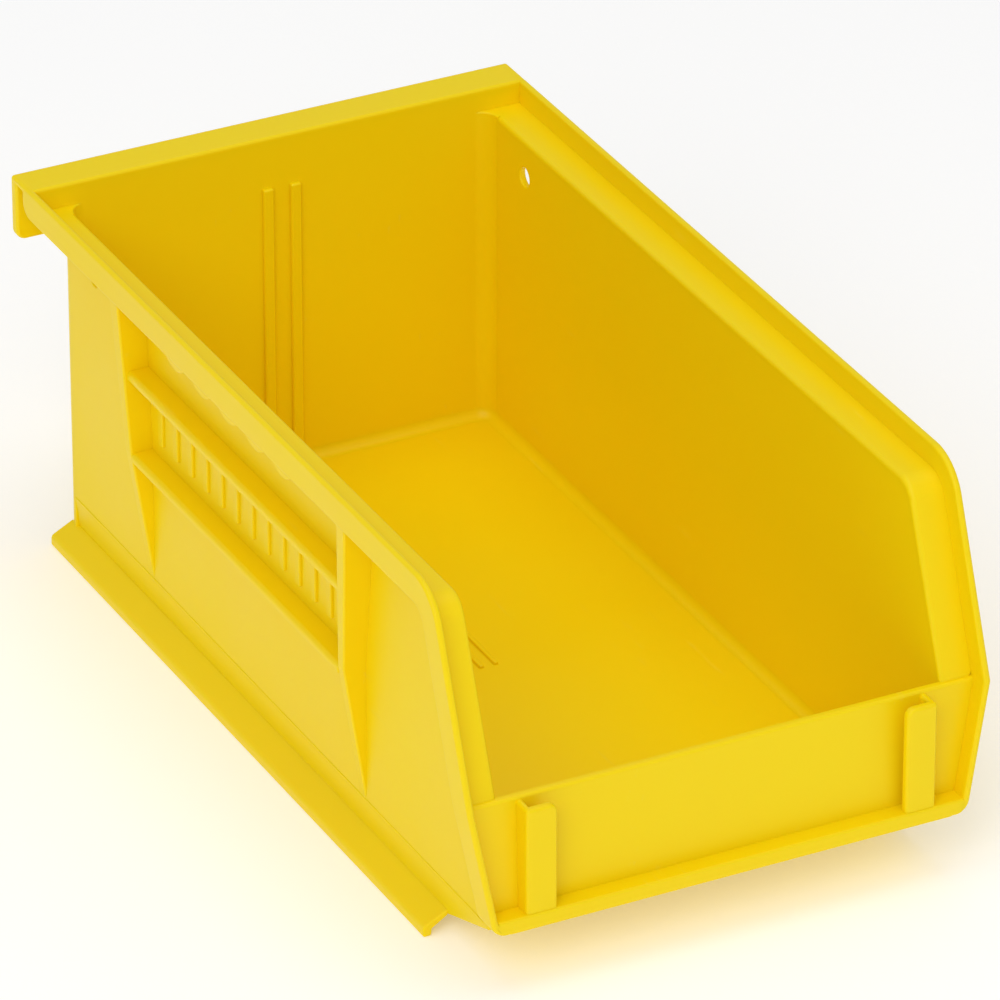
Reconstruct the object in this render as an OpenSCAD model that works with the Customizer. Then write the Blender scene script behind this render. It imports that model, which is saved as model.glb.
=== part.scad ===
// Hanging parts bin: an open-fronted, stack-and-hang storage bin.
// X runs across the bin, Y runs from the hopper front to the rear hang lip,
// Z is up. The origin is at the centre of the footprint, on the resting plane.

/* [Overall size] */
// Overall width over the rim bands
overall_w = 104.8; // [100:0.2:110]
// Overall length, front sill to the back of the hang lip
overall_l = 192.4; // [186:0.2:200]
// Overall height, rail feet to the top of the rim
overall_h = 76.2; // [72:0.2:82]

/* [Shell] */
// Thickness of the moulded walls
wall_t = 1.4; // [1.2:0.1:1.8]
// Thickness of the floor
floor_t = 1.7; // [1.4:0.1:2.2]
// Inside width of the bin
inside_w = 89; // [84:0.2:90]
// Underside of the floor above the resting plane
floor_z = 3.3; // [2.8:0.1:4]
// Inside radius of the two rear vertical corners
corner_r = 3.5; // [2:0.5:6]

/* [Rim] */
// Depth of the stacking shoulder below the rim edge
shoulder_drop = 4.7; // [4:0.1:5.5]
// Radius of the rim edge where it turns down to the hopper
bend_r = 10; // [8:0.5:14]
// Distance from the hopper apex back to the start of the level rim
bend_run = 14.4; // [12:0.2:18]
// Height of the hopper apex
apex_z = 37.6; // [37.6:0.2:42]
// How far the front sill stands ahead of the hopper apex
front_lean = 1.1; // [0.5:0.1:2]
// Height of the lower edge of the front sill
sill_z = 12.1; // [11:0.1:14]
// Width across the front sill
sill_w = 95.4; // [92:0.2:97]

/* [Front] */
// Height of the top edge of the front wall
front_wall_z = 36.9; // [36:0.1:37.5]
// Height of the ledge that a label card stands on
label_ledge_z = 15; // [14.5:0.1:17]
// Width of the recessed label field
label_w = 70; // [60:0.2:72]
// Thickness of the lips that hold the label card
label_lip = 1.8; // [1.2:0.1:2]

/* [Hang lip] */
// Gap between the rear wall and the hang lip's leg
hang_gap = 4.5; // [4.3:0.1:6]
// Thickness of the hang lip's leg
leg_t = 2.4; // [2:0.1:3]
// Drop of the leg below the rim top
leg_drop = 13.1; // [10:0.1:18]

/* [Side grips] */
// Distance of the front rib's leading face behind the sill
front_rib_y = 54.8; // [50:0.2:60]
// Distance of the rear rib's leading face behind the sill
rear_rib_y = 144.8; // [140:0.2:150]
// Height of the upper grip ledge's edge
upper_ledge_z = 56; // [53:0.5:58]
// Height of the lower grip ledge's edge
lower_ledge_z = 39; // [36:0.5:42]
// Number of plain grip bars between the ledges
grip_bars = 13; // [9:1:17]
// Number of finger scallops under the rim
scallops = 5; // [3:1:6]

/* [Holes] */
// Diameter of the side hole
hole_d = 4; // [3:0.1:5]
// Distance of the side hole ahead of the back of the hang lip
hole_back = 23; // [20:0.5:28]
// Depth of the side hole below the rim top
hole_drop = 12.6; // [11.5:0.1:16]

/* [Hidden] */
$fn = 96;
bin_yellow = [0.93, 0.78, 0.06];
far = 400;
round_overrun = 0.5;

// Lengths run from the front sill (y = 0) to the hang lip and are then centred.
half_w = overall_w / 2;
rim_in = half_w - wall_t;
wall_in = inside_w / 2;
wall_out = wall_in + wall_t;
rear_in = overall_l - leg_t - hang_gap - wall_t;
rear_out = rear_in + wall_t;
floor_top = floor_z + floor_t;
rim_depth = shoulder_drop + wall_t;
rim_bottom = overall_h - rim_depth;
shelf_z = overall_h - wall_t;

// Side view of the rim edge: a level top that bends down to the hopper slant.
apex_y = front_lean;
bend_y = apex_y + bend_run;
slant = atan((overall_h - apex_z) / bend_run);
top_start = bend_y + bend_r * tan(slant / 2);
bend_steps = 18;

// Front underside: a ramp from the floor up to the sill.
ramp_y = 25;
ramp_slope = (sill_z - floor_z) / ramp_y;

// The front wall leans a little and stands back from the front plane.
wall_top_y = 4.9;
wall_foot_y = 3.9;
channel_out = 41.2;
channel_face_y = 0.5;
channel_top = front_wall_z - 0.6;
lip_corner = 1.8;

// Rear edge of the lower front bands, where the side walls begin.
band_top_y = apex_y + (front_wall_z - apex_z) / tan(slant) + rim_depth / sin(slant);
band_foot_y = 6.3;
front_corner_r = 3;

// The grips stand out nearly as far as the rim and taper into the wall below.
grip_top_x = half_w - 0.6;
grip_mid_x = half_w - 2.1;
grip_foot_z = 6;
rib_t = 2.4;
rib_extra = 0.9;
rear_rib_lean = 1.7;
front_rib_lean = 3.8;
ledge_t = 1.9;
bar_w = 1.8;
bar_rise = 0.6;
bar_foot = 3;
bar_gap = 1.6;
scallop_r = 6;
scallop_drop = 1.8;
scallop_pitch = 11.2;
scallop_first_y = 76.5;

// Tail of the rim band under the hang lip's shelf.
tail_run = 3.2;

// Foot of the wall and the stacking rail.
foot_x = wall_out - 0.7;
foot_bend_z = 10.8;
rail_root_z = floor_z + 1.3;
rail_out = half_w - 2.4;
rail_lip = 1.6;
rail_start_y = 23.6;
rail_end_y = 183.6;

// Locating guides for a lengthwise divider.
guide_x = 2.9;
guide_w = 2.2;
guide_rise = 1;
guide_top = 65.6;
ridge_x = 1.5;
ridge_w = 0.9;
ridge_rise = 0.6;
ridge_start_y = 96.4;
ridge_end_y = 140;

module left_side() {
    mirror([1, 0, 0]) children();
}

module centred() {
    translate([0, -overall_l / 2, 0]) children();
}

// Extrude a drawing of (x, z) along Y.
module along_y(from, to) {
    translate([0, to, 0])
        rotate([90, 0, 0])
            linear_extrude(to - from) children();
}

// Extrude a drawing of (y, z) along X.
module along_x(from, to) {
    translate([from, 0, 0])
        rotate([90, 0, 90])
            linear_extrude(to - from) children();
}

// What a round of radius r takes off the corner between two edges. It stands
// out past both edges, so that nothing is left along them.
module corner_waste(corner, edge_a, edge_b, r) {
    a = edge_a / norm(edge_a);
    b = edge_b / norm(edge_b);
    inward = (a + b) / norm(a + b);
    half = acos(a * b) / 2;
    centre = corner + inward * r / sin(half);
    out_a = (a * cos(2 * half) - b) / sin(2 * half);
    out_b = (b * cos(2 * half) - a) / sin(2 * half);
    outer_r = r + round_overrun;
    difference() {
        polygon([
            centre, centre + outer_r * out_a,
            centre - outer_r / sin(half) * inward, centre + outer_r * out_b
        ]);
        translate(centre) circle(r);
    }
}

// Side view of all that lies deeper than "depth" behind the rim edge.
module behind_rim_edge(depth) {
    centre = [top_start, overall_h - bend_r];
    bend = [
        for (i = [0 : bend_steps])
            let (turn = slant * i / bend_steps)
                centre + (bend_r - depth) * [-sin(turn), cos(turn)]
    ];
    foot = bend[bend_steps] - far * [cos(slant), sin(slant)];
    polygon(concat([[far, overall_h - depth]], bend, [foot, [far, foot.y]]));
}

// Side view of all that lies above the floor's underside, raised by "lift".
module above_underside(lift) {
    polygon([
        [-ramp_y, floor_z + 2 * ramp_y * ramp_slope + lift],
        [ramp_y, floor_z + lift],
        [far, floor_z + lift],
        [far, far],
        [-ramp_y, far]
    ]);
}

// Plan of the inside of the bin, grown outwards by "grow".
module cavity_plan(grow) {
    r = corner_r + grow;
    w = wall_in + grow;
    back = rear_in + grow;
    difference() {
        translate([-w, -far]) square([2 * w, far + back]);
        corner_waste([w, back], [-1, 0], [0, -1], r);
        corner_waste([-w, back], [1, 0], [0, -1], r);
    }
}

// Side view of a strip that follows the rim edge, between two depths.
module rim_strip(near, deep) {
    difference() {
        behind_rim_edge(near);
        behind_rim_edge(deep);
    }
}

// Side view of all that lies behind the lower front bands.
module behind_front_bands() {
    polygon([
        [band_foot_y, 0], [far, 0], [far, far],
        [band_top_y, far], [band_top_y, front_wall_z], [band_foot_y, sill_z]
    ]);
}

// Front view of the space between the two lower rim bands.
module between_front_rims(t) {
    bottom = sill_w / 2 - t;
    top = half_w - t;
    polygon([
        [-bottom, sill_z], [bottom, sill_z],
        [top, apex_z], [top, overall_h],
        [-top, overall_h], [-top, apex_z]
    ]);
}

// Front view of the rounded lower corners of the front.
module front_corner_waste() {
    for (side = [-1, 1])
        corner_waste(
            [side * sill_w / 2, sill_z],
            [-side, 0],
            [side * (half_w - sill_w / 2), apex_z - sill_z],
            front_corner_r
        );
}

module floor_panel() {
    color(bin_yellow)
        centred()
            intersection() {
                linear_extrude(far) cavity_plan(0);
                along_x(-far, far)
                    translate([ramp_y, floor_z]) square([overall_l, floor_t]);
            }
}

module front_ramp() {
    color(bin_yellow)
        centred()
            along_x(-wall_in, wall_in)
                difference() {
                    intersection() {
                        difference() {
                            above_underside(0);
                            above_underside(floor_t);
                        }
                        square([ramp_y, overall_h]);
                    }
                    square([wall_foot_y + wall_t, overall_h]);
                }
}

module rear_wall() {
    corner_start = rear_in - corner_r;
    color(bin_yellow)
        centred()
            union() {
                translate([0, 0, floor_z])
                    linear_extrude(rim_bottom - floor_z)
                        intersection() {
                            difference() {
                                cavity_plan(wall_t);
                                cavity_plan(0);
                            }
                            translate([-far, corner_start]) square([2 * far, far]);
                        }
                // The corners are square on the outside where they meet the shoulders.
                translate([0, 0, rim_bottom])
                    linear_extrude(wall_t)
                        difference() {
                            translate([-wall_out, corner_start])
                                square([2 * wall_out, rear_out - corner_start]);
                            cavity_plan(0);
                        }
                translate([-rim_in, rear_in, rim_bottom])
                    cube([2 * rim_in, wall_t, shelf_z - rim_bottom]);
            }
}

module right_side_wall() {
    color(bin_yellow)
        centred()
            difference() {
                intersection() {
                    along_y(0, rear_in - corner_r)
                        polygon([
                            [wall_in, 0], [foot_x, 0], [foot_x, rail_root_z],
                            [wall_out, foot_bend_z], [wall_out, rim_bottom],
                            [wall_in, rim_bottom]
                        ]);
                    along_x(0, half_w)
                        intersection() {
                            behind_rim_edge(rim_depth);
                            behind_front_bands();
                            above_underside(0);
                        }
                }
                translate([0, overall_l - hole_back, overall_h - hole_drop])
                    rotate([0, 90, 0]) cylinder(h = overall_w, d = hole_d);
            }
}

module left_side_wall() {
    left_side() right_side_wall();
}

// Side view of all that lies ahead of the front wall's rear face.
module ahead_of_wall_back() {
    polygon([
        [-ramp_y, 0], [wall_foot_y + wall_t, 0],
        [wall_foot_y + wall_t, label_ledge_z],
        [wall_top_y + wall_t, front_wall_z], [-ramp_y, front_wall_z]
    ]);
}

// Side view of the front wall and sill beside the side walls, where they are
// as deep as the lower front bands.
module full_front_depth() {
    difference() {
        translate([-ramp_y, 0]) square([far, front_wall_z]);
        behind_front_bands();
    }
}

// A drawing for the middle of the front and one for both of its ends.
module front_piece() {
    intersection() {
        union() {
            along_x(-wall_in, wall_in) children(0);
            along_x(wall_in, half_w) children(1);
            along_x(-half_w, -wall_in) children(1);
        }
        along_y(-1, overall_l)
            union() {
                difference() {
                    between_front_rims(wall_t);
                    front_corner_waste();
                }
                // Between the side walls the sill goes on down to meet the ramp.
                translate([-wall_in, floor_z]) square([2 * wall_in, sill_z + 1 - floor_z]);
            }
    }
}

// Side view of all that lies behind the front wall's face.
module behind_wall_face() {
    polygon([
        [wall_foot_y, label_ledge_z], [far, label_ledge_z],
        [far, front_wall_z], [wall_top_y, front_wall_z]
    ]);
}

module front_wall() {
    color(bin_yellow)
        centred()
            front_piece() {
                intersection() {
                    ahead_of_wall_back();
                    behind_wall_face();
                }
                intersection() {
                    full_front_depth();
                    behind_wall_face();
                }
            }
}

// Side view of the sill's front face, top ledge and sloping underside.
module sill_side_view() {
    lean = (label_ledge_z - sill_z) / (apex_z - sill_z) * apex_y;
    polygon([
        [0, sill_z], [ramp_y, floor_z],
        [ramp_y, label_ledge_z], [lean, label_ledge_z]
    ]);
}

module front_sill() {
    color(bin_yellow)
        centred()
            front_piece() {
                intersection() {
                    ahead_of_wall_back();
                    sill_side_view();
                }
                intersection() {
                    full_front_depth();
                    sill_side_view();
                }
            }
}

module right_label_channel() {
    lip_x = label_w / 2;
    color(bin_yellow)
        centred()
            difference() {
                intersection() {
                    along_x(lip_x, channel_out)
                        difference() {
                            translate([channel_face_y, label_ledge_z])
                                square([overall_l, channel_top - label_ledge_z]);
                            behind_wall_face();
                            translate([0, front_wall_z]) square([overall_l, far]);
                        }
                    along_y(0, wall_top_y)
                        difference() {
                            square([channel_out, channel_top]);
                            corner_waste([lip_x, channel_top], [1, 0], [0, -1], lip_corner);
                        }
                }
                translate([0, channel_face_y + label_lip, 0])
                    cube([channel_out - wall_t, wall_top_y, overall_h]);
            }
}

module left_label_channel() {
    left_side() right_label_channel();
}

module hang_lip() {
    leg_y = overall_l - leg_t;
    color(bin_yellow)
        centred()
            union() {
                translate([-half_w, rear_in, shelf_z])
                    cube([overall_w, overall_l - rear_in, wall_t]);
                along_y(leg_y, overall_l)
                    difference() {
                        translate([-half_w, overall_h - leg_drop])
                            square([overall_w, leg_drop - wall_t / 2]);
                        for (side = [-1, 1])
                            corner_waste(
                                [side * half_w, overall_h - leg_drop],
                                [-side, 0], [0, 1], 2
                            );
                    }
            }
}

module right_top_rim() {
    color(bin_yellow)
        centred()
            union() {
                along_x(rim_in, half_w)
                    translate([top_start, rim_bottom])
                        square([rear_in - top_start, rim_depth]);
                // Tail that runs back under the hang lip's shelf.
                along_x(rim_in, half_w)
                    difference() {
                        translate([rear_in - 1, rim_bottom])
                            square([tail_run + 1, shelf_z - rim_bottom]);
                        corner_waste(
                            [rear_in + tail_run, rim_bottom],
                            [-1, 0], [0, 1], tail_run
                        );
                    }
            }
}

module left_top_rim() {
    left_side() right_top_rim();
}

module right_hopper_rim() {
    color(bin_yellow)
        centred()
            union() {
                along_x(rim_in, half_w)
                    intersection() {
                        rim_strip(0, rim_depth);
                        translate([0, apex_z]) square([top_start, overall_h]);
                    }
                intersection() {
                    along_y(0, overall_l)
                        difference() {
                            between_front_rims(0);
                            between_front_rims(wall_t);
                            translate([-far, 0]) square([far, far]);
                            translate([0, apex_z]) square([far, far]);
                            front_corner_waste();
                        }
                    along_x(0, half_w)
                        polygon([
                            [0, sill_z],
                            [apex_y, apex_z],
                            [apex_y + rim_depth / sin(slant), apex_z],
                            [band_foot_y, sill_z]
                        ]);
                }
            }
}

module left_hopper_rim() {
    left_side() right_hopper_rim();
}

module right_stacking_shoulder() {
    color(bin_yellow)
        centred()
            difference() {
                along_x(wall_in, rim_in)
                    intersection() {
                        rim_strip(shoulder_drop, rim_depth);
                        translate([0, front_wall_z]) square([rear_in, overall_h]);
                    }
                // Room for the rounded corner that the rear wall brings up here.
                translate([0, rear_in - corner_r, 0])
                    cube([wall_out, 2 * corner_r, overall_h]);
            }
}

module left_stacking_shoulder() {
    left_side() right_stacking_shoulder();
}

// Front view of a rib: flush below the rim, tapering into the wall.
module rib_front_view() {
    polygon([
        [wall_out, foot_bend_z], [grip_mid_x, lower_ledge_z],
        [grip_top_x, rim_bottom], [wall_out, rim_bottom]
    ]);
}

// A rib whose leading face leans by "lean" between the lower ledge and the rim.
module side_rib(y, lean) {
    intersection() {
        along_y(0, overall_l) rib_front_view();
        along_x(0, half_w)
            polygon([
                [y, 0], [y, lower_ledge_z], [y + lean, rim_bottom],
                [y + lean + rib_t + rib_extra, rim_bottom],
                [y + rib_t, lower_ledge_z], [y + rib_t, 0]
            ]);
    }
}

module right_rear_rib() {
    color(bin_yellow) centred() side_rib(rear_rib_y, rear_rib_lean);
}

module left_rear_rib() {
    left_side() right_rear_rib();
}

module right_front_rib() {
    color(bin_yellow) centred() side_rib(front_rib_y, -front_rib_lean);
}

module left_front_rib() {
    left_side() right_front_rib();
}

// Side view of the space between the two ribs.
module between_ribs() {
    polygon([
        [front_rib_y + rib_t, 0],
        [front_rib_y + rib_t, lower_ledge_z],
        [front_rib_y - front_rib_lean + rib_t + rib_extra, rim_bottom],
        [rear_rib_y + rear_rib_lean, rim_bottom],
        [rear_rib_y, lower_ledge_z],
        [rear_rib_y, 0]
    ]);
}

module grip_ledge(z) {
    color(bin_yellow)
        centred()
            intersection() {
                along_x(wall_out, grip_mid_x)
                    intersection() {
                        between_ribs();
                        translate([0, z - ledge_t]) square([overall_l, ledge_t]);
                    }
                along_y(0, overall_l)
                    difference() {
                        square([half_w, overall_h]);
                        corner_waste([grip_mid_x, z], [-1, 0], [0, -1], ledge_t / 2);
                    }
            }
}

module right_upper_grip_ledge() {
    grip_ledge(upper_ledge_z);
}

module left_upper_grip_ledge() {
    left_side() right_upper_grip_ledge();
}

module right_lower_grip_ledge() {
    grip_ledge(lower_ledge_z);
}

module left_lower_grip_ledge() {
    left_side() right_lower_grip_ledge();
}

module right_grip_bars() {
    first = front_rib_y + rib_t + 4;
    last = rear_rib_y - 4 - bar_w;
    step = (last - first) / (grip_bars - 1);
    color(bin_yellow)
        centred()
            for (i = [0 : grip_bars - 1])
                translate([wall_out, first + i * step, lower_ledge_z + bar_foot])
                    cube([
                        bar_rise, bar_w,
                        upper_ledge_z - ledge_t - bar_gap - lower_ledge_z - bar_foot
                    ]);
}

module left_grip_bars() {
    left_side() right_grip_bars();
}

module right_finger_scallops() {
    color(bin_yellow)
        centred()
            for (i = [0 : scallops - 1])
                intersection() {
                    translate([
                        wall_out, scallop_first_y + i * scallop_pitch,
                        rim_bottom - scallop_drop + scallop_r
                    ])
                        rotate([0, 90, 0])
                            cylinder(h = grip_top_x - wall_out, r = scallop_r);
                    cube([half_w, overall_l, rim_bottom]);
                }
}

module left_finger_scallops() {
    left_side() right_finger_scallops();
}

module right_stacking_rail() {
    color(bin_yellow)
        centred()
            along_y(rail_start_y, rail_end_y)
                polygon([
                    [foot_x, rail_root_z],
                    [rail_out - 0.2, 2.2],
                    [rail_out, 1.6],
                    [rail_out, 0],
                    [rail_out - rail_lip, 0],
                    [rail_out - rail_lip - 0.2, 1.4],
                    [foot_x, floor_z]
                ]);
}

module left_stacking_rail() {
    left_side() right_stacking_rail();
}

module rear_divider_guides() {
    color(bin_yellow)
        centred()
            for (side = [-1, 1])
                translate([side * guide_x - guide_w / 2, rear_in - guide_rise, floor_top])
                    cube([guide_w, guide_rise, guide_top - floor_top]);
}

module floor_ridges() {
    color(bin_yellow)
        centred()
            for (side = [-1, 1])
                translate([side * ridge_x - ridge_w / 2, ridge_start_y, floor_top])
                    cube([ridge_w, ridge_end_y - ridge_start_y, ridge_rise]);
}

floor_panel();
front_ramp();
rear_wall();
left_side_wall();
right_side_wall();
front_wall();
front_sill();
left_label_channel();
right_label_channel();
hang_lip();
left_top_rim();
right_top_rim();
left_hopper_rim();
right_hopper_rim();
left_stacking_shoulder();
right_stacking_shoulder();
left_rear_rib();
right_rear_rib();
left_front_rib();
right_front_rib();
left_upper_grip_ledge();
right_upper_grip_ledge();
left_lower_grip_ledge();
right_lower_grip_ledge();
left_grip_bars();
right_grip_bars();
left_finger_scallops();
right_finger_scallops();
left_stacking_rail();
right_stacking_rail();
rear_divider_guides();
floor_ridges();
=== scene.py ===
"""Looks of the hanging parts bin.

The bin is one yellow moulding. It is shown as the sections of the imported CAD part, each rounded at
its free edges, so that neighbouring sections still meet without a seam.
"""

import math

import bmesh
import bpy
from mathutils import Matrix, Vector
from mathutils.bvhtree import BVHTree
from mathutils.kdtree import KDTree


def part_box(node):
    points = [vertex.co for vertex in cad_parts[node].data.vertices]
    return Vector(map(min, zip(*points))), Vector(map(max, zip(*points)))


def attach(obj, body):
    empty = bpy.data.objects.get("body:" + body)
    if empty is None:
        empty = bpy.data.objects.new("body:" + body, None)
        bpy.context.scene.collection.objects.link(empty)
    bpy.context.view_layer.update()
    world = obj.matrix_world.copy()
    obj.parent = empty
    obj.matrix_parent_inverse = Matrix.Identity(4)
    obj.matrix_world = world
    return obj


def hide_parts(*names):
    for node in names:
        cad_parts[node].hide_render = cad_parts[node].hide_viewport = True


MM = 0.001
BODY = "root"
QUARTER_TURN = math.radians(90.0)
FULL_TURN = math.radians(360.0)

# Camera: an orbit about a point near the bin's middle.
CAMERA_AZIMUTH = -26.93
CAMERA_ELEVATION = 29.19
CAMERA_DISTANCE = 1.703
CAMERA_TARGET = (-0.0011, -0.0064, 0.0441)
CAMERA_LENS = 334.0
CAMERA_SENSOR = 36.0
CAMERA_CLIP = (0.05, 20.0)

# Round lamps: name, azimuth, elevation, distance, diameter, watts.
SOFTBOXES = (
    ("key", -42.0, 38.0, 1.6, 1.0, 6.6),
    ("top", 0.0, 88.0, 1.6, 1.2, 5.8),
    ("fill", 10.0, 35.0, 1.8, 1.2, 0.8),
)
LAMP_TARGET = (0.0, 0.0, 0.04)
SKY_STRENGTH = 0.5
FLOOR_HALF_SIZE = 3.0
FLOOR_GLOW = 0.18
WHITE = (1.0, 1.0, 1.0, 1.0)
PALE_GREY = (0.98, 0.98, 0.98, 1.0)

# Plastic. Noise scales are in cells per metre.
YELLOW = (0.955, 0.706, 0.0010, 1.0)
YELLOW_DEEP = (0.950, 0.692, 0.0008, 1.0)
YELLOW_PALE = (0.960, 0.720, 0.0014, 1.0)
SCUFF = (0.94, 0.72, 0.04, 1.0)
SCUFF_ROUGHNESS = 0.2
ROUGHNESS = (0.36, 0.46)
SPECULAR = 0.22
PLASTIC_IOR = 1.49
SUBSURFACE = 0.12
SUBSURFACE_TINT = (1.0, 0.6, 0.1)
SUBSURFACE_DEPTH = 1.2 * MM
CLOUD_SCALE = 14.0
FLOW_SCALE = (60.0, 9.0, 60.0)
SCRATCH_SCALE = (900.0, 70.0, 500.0)
WORN_SCALE = 45.0
SHEEN_SCALE = 30.0
GRAIN_SCALE = 5200.0
GRAIN_STRENGTH, GRAIN_DEPTH = 0.22, 0.04 * MM
WAVE_SCALE = 260.0
WAVE_STRENGTH, WAVE_DEPTH = 0.25, 0.12 * MM

# Details of the moulding that the CAD sections do not carry.
REAR_CORNER = 3.5 * MM
CORNER_STEPS = 8
COVE = 2.0 * MM
COVE_STEPS = 8
EMBED = 0.1 * MM
FOOT_LINE_Z = 10.8 * MM
FOOT_LINE_RADIUS = 0.28 * MM
FOOT_LINE_SIDES = 12
FOOT_LINE_INSET = 2.0 * MM

# Cleaning of the CAD meshes, and what counts as a corner or edge shared with a neighbour.
WELD = 0.02 * MM
FLAT_DEG = 0.6
TOUCH = 0.03 * MM
SPLIT_EDGE = 1.0 * MM
SPLIT_MARGIN = 0.3 * MM
SPLIT_DIGITS = 5
SAME_LINE = 0.9999
EDGE_SAMPLES = (0.25, 0.5, 0.75)

# Edge rounding. An edge is rounded when its faces turn by more than SHARP_DEG.
SHARP_DEG = 28.0
ROUND_SEGMENTS = 4
NORMAL_WEIGHT = 100
DEFAULT_ROUND = 0.35 * MM
NODE_ROUND = {
    "rim": 0.6 * MM,
    "shoulder": 0.9 * MM,
    "front_wall": 0.55 * MM,
    "front_sill": 0.5 * MM,
    "hang_lip": 0.65 * MM,
    "ledge": 0.45 * MM,
    "rib": 0.4 * MM,
    "rail": 0.4 * MM,
    "channel": 0.65 * MM,
    "bars": 0.3 * MM,
    "guides": 0.4 * MM,
    "ridges": 0.25 * MM,
}


# ---------------------------------------------------------------- objects


def add_object(name, data):
    made = bpy.data.objects.new(name, data)
    bpy.context.scene.collection.objects.link(made)
    return made


def add_smooth_piece(name, mesh, material):
    """An object made from a bmesh, smooth but for its sharp edges."""
    data = bpy.data.meshes.new(name)
    mesh.to_mesh(data)
    mesh.free()
    for polygon in data.polygons:
        polygon.use_smooth = True
    data.set_sharp_from_angle(angle=math.radians(SHARP_DEG))
    data.materials.append(material)
    return add_object(name, data)


# ---------------------------------------------------------------- materials


def node_at(tree, kind, **values):
    made = tree.nodes.new(kind)
    for key, value in values.items():
        setattr(made, key, value)
    return made


def noise(tree, vector, scale, detail, roughness=0.5):
    made = node_at(tree, "ShaderNodeTexNoise")
    made.inputs["Scale"].default_value = scale
    made.inputs["Detail"].default_value = detail
    made.inputs["Roughness"].default_value = roughness
    tree.links.new(vector, made.inputs["Vector"])
    return made.outputs["Fac"]


def stretched_noise(tree, vector, scales, detail, roughness=0.5):
    """Noise with its own scale along each axis."""
    mapping = node_at(tree, "ShaderNodeMapping")
    mapping.inputs["Scale"].default_value = scales
    tree.links.new(vector, mapping.inputs["Vector"])
    return noise(tree, mapping.outputs["Vector"], 1.0, detail, roughness)


def remap(tree, value, low, high, to_low, to_high):
    made = node_at(tree, "ShaderNodeMapRange", clamp=True)
    made.inputs["From Min"].default_value = low
    made.inputs["From Max"].default_value = high
    made.inputs["To Min"].default_value = to_low
    made.inputs["To Max"].default_value = to_high
    tree.links.new(value, made.inputs["Value"])
    return made.outputs["Result"]


def feed(tree, socket, value):
    """Sets a socket to a constant, or links it to another node's output."""
    if isinstance(value, (int, float, tuple)):
        socket.default_value = value
    else:
        tree.links.new(value, socket)


def maths(tree, operation, a, b):
    made = node_at(tree, "ShaderNodeMath", operation=operation)
    feed(tree, made.inputs[0], a)
    feed(tree, made.inputs[1], b)
    return made.outputs["Value"]


def mix_colour(tree, factor, a, b):
    made = node_at(tree, "ShaderNodeMix", data_type="RGBA")
    tree.links.new(factor, made.inputs["Factor"])
    feed(tree, made.inputs["A"], a)
    feed(tree, made.inputs["B"], b)
    return made.outputs["Result"]


def bump(tree, height, strength, depth):
    made = node_at(tree, "ShaderNodeBump")
    made.inputs["Strength"].default_value = strength
    made.inputs["Distance"].default_value = depth
    tree.links.new(height, made.inputs["Height"])
    return made


def moulded_plastic():
    """Satin yellow plastic: fine mould grain, faint flow shading and light handling scuffs."""
    material = bpy.data.materials.new("moulded_yellow_plastic")
    material.use_nodes = True
    tree = material.node_tree
    shader = tree.nodes["Principled BSDF"]
    place = node_at(tree, "ShaderNodeTexCoord").outputs["Object"]

    cloud = noise(tree, place, CLOUD_SCALE, 3.0)
    flow = stretched_noise(tree, place, FLOW_SCALE, 5.0, 0.6)
    base = mix_colour(tree, remap(tree, cloud, 0.3, 0.7, 0.0, 1.0), YELLOW_DEEP, YELLOW_PALE)
    base = mix_colour(tree, remap(tree, flow, 0.35, 0.75, 0.0, 0.45), base, YELLOW)

    scratches = remap(tree, stretched_noise(tree, place, SCRATCH_SCALE, 2.0), 0.66, 0.74, 0.0, 1.0)
    worn = remap(tree, noise(tree, place, WORN_SCALE, 3.0), 0.52, 0.66, 0.0, 0.5)
    scuffs = maths(tree, "MULTIPLY", scratches, worn)
    tree.links.new(mix_colour(tree, scuffs, base, SCUFF), shader.inputs["Base Color"])

    rough = remap(tree, noise(tree, place, SHEEN_SCALE, 4.0), 0.3, 0.7, *ROUGHNESS)
    rough = maths(tree, "ADD", rough, maths(tree, "MULTIPLY", scuffs, SCUFF_ROUGHNESS))
    tree.links.new(rough, shader.inputs["Roughness"])
    shader.inputs["IOR"].default_value = PLASTIC_IOR
    shader.inputs["Specular IOR Level"].default_value = SPECULAR
    shader.inputs["Subsurface Weight"].default_value = SUBSURFACE
    shader.inputs["Subsurface Radius"].default_value = SUBSURFACE_TINT
    shader.inputs["Subsurface Scale"].default_value = SUBSURFACE_DEPTH

    grain = bump(tree, noise(tree, place, GRAIN_SCALE, 2.0, 0.6), GRAIN_STRENGTH, GRAIN_DEPTH)
    waves = bump(tree, noise(tree, place, WAVE_SCALE, 2.0), WAVE_STRENGTH, WAVE_DEPTH)
    tree.links.new(grain.outputs["Normal"], waves.inputs["Normal"])
    tree.links.new(waves.outputs["Normal"], shader.inputs["Normal"])
    return material


def plain_floor_material():
    """A pale matt floor with a little light of its own, which keeps it near white."""
    material = bpy.data.materials.new("pale_floor")
    material.use_nodes = True
    shader = material.node_tree.nodes["Principled BSDF"]
    shader.inputs["Base Color"].default_value = PALE_GREY
    shader.inputs["Roughness"].default_value = 0.8
    shader.inputs["Emission Color"].default_value = WHITE
    shader.inputs["Emission Strength"].default_value = FLOOR_GLOW
    return material


# ---------------------------------------------------------------- rounded sections


def round_of(name):
    """Rounding radius of a node's free edges, from the first listed word in its name."""
    for word, radius in NODE_ROUND.items():
        if word in name:
            return radius
    return DEFAULT_ROUND


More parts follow.
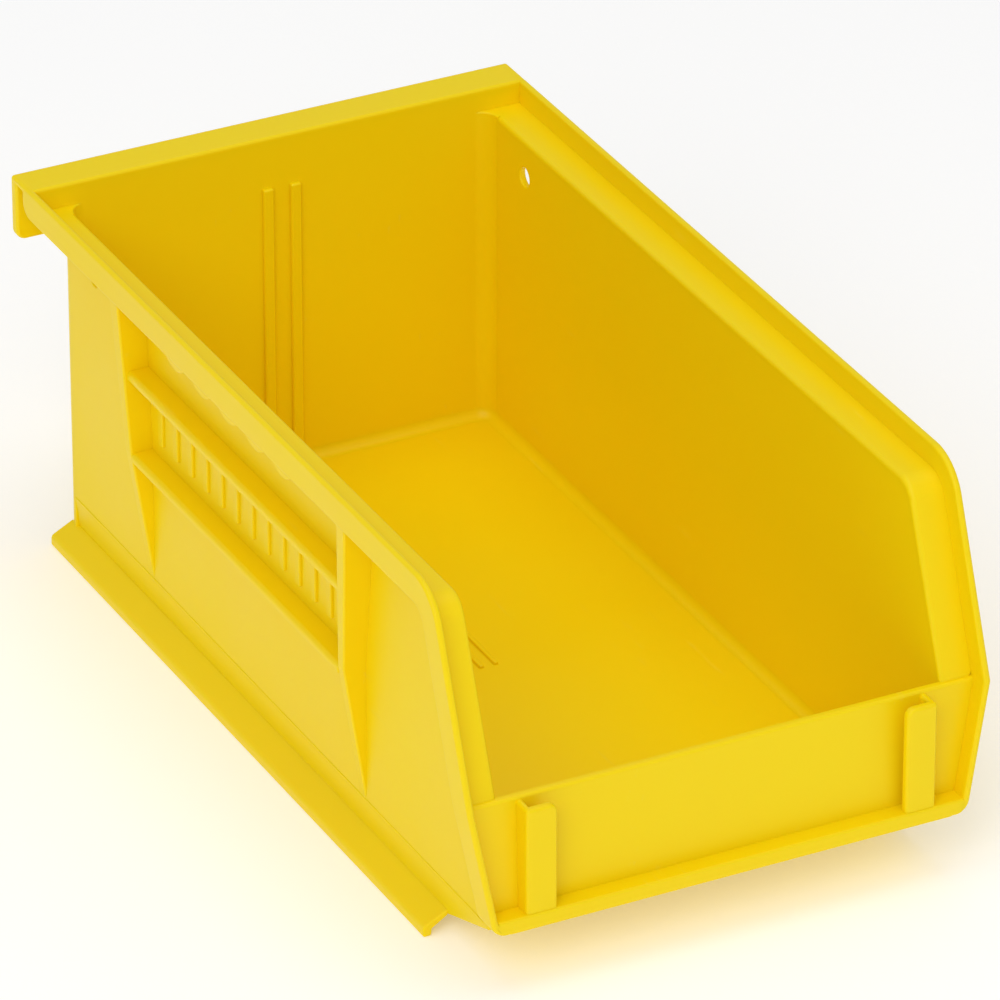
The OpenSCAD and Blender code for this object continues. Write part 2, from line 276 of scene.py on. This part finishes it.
def clean_copy(source):
    """A bmesh of a CAD node with its triangles joined into flat faces."""
    made = bmesh.new()
    made.from_mesh(source.data)
    bmesh.ops.remove_doubles(made, verts=made.verts, dist=WELD)
    bmesh.ops.dissolve_limit(
        made,
        angle_limit=math.radians(FLAT_DEG),
        verts=made.verts,
        edges=made.edges,
        delimit=set(),
    )
    bmesh.ops.recalc_face_normals(made, faces=made.faces)
    return made


def neighbours_of(name, meshes):
    """Search trees of every other section: their surfaces and their corners."""
    others = [mesh for other, mesh in meshes.items() if other != name]
    surfaces = [BVHTree.FromBMesh(mesh) for mesh in others]
    corners = [vertex.co.copy() for mesh in others for vertex in mesh.verts]
    tree = KDTree(len(corners))
    for index, corner in enumerate(corners):
        tree.insert(corner, index)
    tree.balance()
    return surfaces, tree


def runs_on(edge, vertex, end, direction):
    """True if an edge leads from the vertex straight on towards the end."""
    other = edge.other_vert(vertex).co
    nearer = (other - end).length < (vertex.co - end).length
    return nearer and abs((other - vertex.co).normalized().dot(direction)) > SAME_LINE


def split_at_corners(mesh, corners):
    """Adds a vertex where another section's corner lies along an edge."""
    for edge in list(mesh.edges):
        if edge.calc_length() < SPLIT_EDGE:
            continue
        start, end = (vertex.co.copy() for vertex in edge.verts)
        run = end - start
        shares = set()
        for corner, _, _ in corners.find_range((start + end) / 2, run.length / 2):
            share = (corner - start).dot(run) / run.length_squared
            on_line = (start + run * share - corner).length < TOUCH
            if on_line and SPLIT_MARGIN < share * run.length < run.length - SPLIT_MARGIN:
                shares.add(round(share, SPLIT_DIGITS))
        rest, first, done = edge, edge.verts[0], 0.0
        for share in sorted(shares):
            part = (share - done) / (1.0 - done)
            first = bmesh.utils.edge_split(rest, first, part)[1]
            direction = run.normalized()
            rest = next(e for e in first.link_edges if runs_on(e, first, end, direction))
            done = share


def is_free(edge, surfaces):
    """True if no sample along the edge lies on another section."""
    start, end = (vertex.co for vertex in edge.verts)
    samples = [start.lerp(end, share) for share in EDGE_SAMPLES]
    return not any(
        surface.find_nearest(sample, TOUCH)[0] is not None
        for sample in samples
        for surface in surfaces
    )


def free_sharp_edges(mesh, surfaces):
    return [
        edge
        for edge in mesh.edges
        if len(edge.link_faces) == 2
        and edge.is_convex
        and edge.calc_face_angle(0.0) > math.radians(SHARP_DEG)
        and is_free(edge, surfaces)
    ]


def add_section(name, meshes, material):
    """The rounded copy of one CAD section, standing for it."""
    mesh = meshes[name].copy()
    surfaces, corners = neighbours_of(name, meshes)
    split_at_corners(mesh, corners)
    bmesh.ops.bevel(
        mesh,
        geom=free_sharp_edges(mesh, surfaces),
        offset=round_of(name),
        offset_type="OFFSET",
        segments=ROUND_SEGMENTS,
        profile=0.5,
        affect="EDGES",
        clamp_overlap=False,
    )
    piece = add_smooth_piece(name + "_moulded", mesh, material)
    weighted = piece.modifiers.new("even_normals", "WEIGHTED_NORMAL")
    weighted.keep_sharp = True
    weighted.weight = NORMAL_WEIGHT
    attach(piece, BODY)
    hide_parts(name)


# ---------------------------------------------------------------- coves and lines


def add_swept_piece(name, rings, material):
    """A closed piece whose cross-sections are the given rings of points, in order."""
    mesh = bmesh.new()
    loops = [[mesh.verts.new(point) for point in ring] for ring in rings]
    for first, second in zip(loops, loops[1:]):
        for index in range(len(first)):
            after = (index + 1) % len(first)
            mesh.faces.new((first[index], first[after], second[after], second[index]))
    mesh.faces.new(loops[0])
    mesh.faces.new(loops[-1])
    bmesh.ops.recalc_face_normals(mesh, faces=mesh.faces)
    piece = add_smooth_piece(name, mesh, material)
    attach(piece, BODY)


def floor_outline():
    """The line where the floor meets the walls, from the right front round to the left front.

    Each place comes with the direction into the bin and the direction up the wall.
    """
    ramp_low, ramp_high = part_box("front_ramp")
    floor_low, floor_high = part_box("floor_panel")
    half, back, top = floor_high
    slope = math.atan2(ramp_high[2] - top, floor_low[1] - ramp_low[1])
    places = []
    for lean, y, z in ((slope, ramp_low[1], ramp_high[2]), (slope / 2, floor_low[1], top)):
        up = Vector((0.0, math.sin(lean), math.cos(lean)))
        places.append((Vector((half, y, z)), Vector((-1.0, 0.0, 0.0)), up))
    centre = Vector((half - REAR_CORNER, back - REAR_CORNER, top))
    for step in range(CORNER_STEPS + 1):
        turn = QUARTER_TURN * step / CORNER_STEPS
        out = Vector((math.cos(turn), math.sin(turn), 0.0))
        places.append((centre + out * REAR_CORNER, -out, Vector((0.0, 0.0, 1.0))))
    mirrored = [
        tuple(Vector((-vector.x, vector.y, vector.z)) for vector in place)
        for place in reversed(places)
    ]
    return places + mirrored


def add_floor_cove(material):
    """The soft inside corner between the floor and the walls."""
    profile = [(-EMBED, -EMBED), (COVE, -EMBED)]
    for step in range(COVE_STEPS + 1):
        turn = QUARTER_TURN * step / COVE_STEPS
        profile.append((COVE * (1.0 - math.sin(turn)), COVE * (1.0 - math.cos(turn))))
    profile.append((-EMBED, COVE))
    rings = [
        [place + inward * across + up * rise for across, rise in profile]
        for place, inward, up in floor_outline()
    ]
    add_swept_piece("floor_cove", rings, material)


def add_foot_line(name, wall, side, material):
    """The fine line along a side wall where its foot bends inwards."""
    low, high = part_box(wall)
    face = max(abs(low[0]), abs(high[0])) - EMBED
    turns = [FULL_TURN * step / FOOT_LINE_SIDES for step in range(FOOT_LINE_SIDES)]
    rings = [
        [
            Vector((
                side * (face + FOOT_LINE_RADIUS * math.cos(turn)),
                y,
                FOOT_LINE_Z + FOOT_LINE_RADIUS * math.sin(turn),
            ))
            for turn in turns
        ]
        for y in (low[1] + FOOT_LINE_INSET, high[1] - EMBED)
    ]
    add_swept_piece(name, rings, material)


# ---------------------------------------------------------------- studio


def orbit(azimuth, elevation, distance, target):
    """Placement that looks at target from an azimuth round Z and an elevation, in degrees."""
    turn, lift = math.radians(azimuth), math.radians(elevation)
    back = Vector((
        math.sin(turn) * math.cos(lift),
        -math.cos(turn) * math.cos(lift),
        math.sin(lift),
    ))
    rotation = (-back).to_track_quat("-Z", "Y").to_matrix().to_4x4()
    return Matrix.Translation(Vector(target) + back * distance) @ rotation


def add_camera():
    data = bpy.data.cameras.new("camera")
    data.lens = CAMERA_LENS
    data.sensor_width = CAMERA_SENSOR
    data.clip_start, data.clip_end = CAMERA_CLIP
    camera = add_object("camera", data)
    camera.matrix_world = orbit(
        CAMERA_AZIMUTH, CAMERA_ELEVATION, CAMERA_DISTANCE, CAMERA_TARGET
    )
    bpy.context.scene.camera = camera


def add_softbox(name, azimuth, elevation, distance, diameter, power):
    data = bpy.data.lights.new(name, "AREA")
    data.shape = "DISK"
    data.size = diameter
    data.energy = power
    add_object(name, data).matrix_world = orbit(azimuth, elevation, distance, LAMP_TARGET)


def add_floor():
    data = bpy.data.meshes.new("floor")
    plate = bmesh.new()
    bmesh.ops.create_grid(plate, x_segments=1, y_segments=1, size=FLOOR_HALF_SIZE)
    plate.to_mesh(data)
    plate.free()
    data.materials.append(plain_floor_material())
    floor = add_object("floor", data)


def add_sky():
    """Even white light from all round."""
    world = bpy.data.worlds.new("studio")
    world.use_nodes = True
    background = world.node_tree.nodes["Background"]
    background.inputs["Color"].default_value = WHITE
    background.inputs["Strength"].default_value = SKY_STRENGTH
    bpy.context.scene.world = world


# ---------------------------------------------------------------- build

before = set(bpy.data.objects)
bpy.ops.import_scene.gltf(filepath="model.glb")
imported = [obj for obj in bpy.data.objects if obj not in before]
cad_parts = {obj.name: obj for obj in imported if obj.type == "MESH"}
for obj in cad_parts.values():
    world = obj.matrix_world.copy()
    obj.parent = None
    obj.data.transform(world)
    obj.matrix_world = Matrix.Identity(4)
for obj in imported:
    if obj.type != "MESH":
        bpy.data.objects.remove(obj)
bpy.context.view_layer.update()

plastic = moulded_plastic()
clean = {name: clean_copy(source) for name, source in sorted(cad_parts.items())}
for section_name in clean:
    add_section(section_name, clean, plastic)
add_floor_cove(plastic)
add_foot_line("left_foot_line", "left_side_wall", -1.0, plastic)
add_foot_line("right_foot_line", "right_side_wall", 1.0, plastic)

add_camera()
add_sky()
add_floor()
for softbox in SOFTBOXES:
    add_softbox(*softbox)
bpy.context.scene.view_settings.view_transform = "Standard"
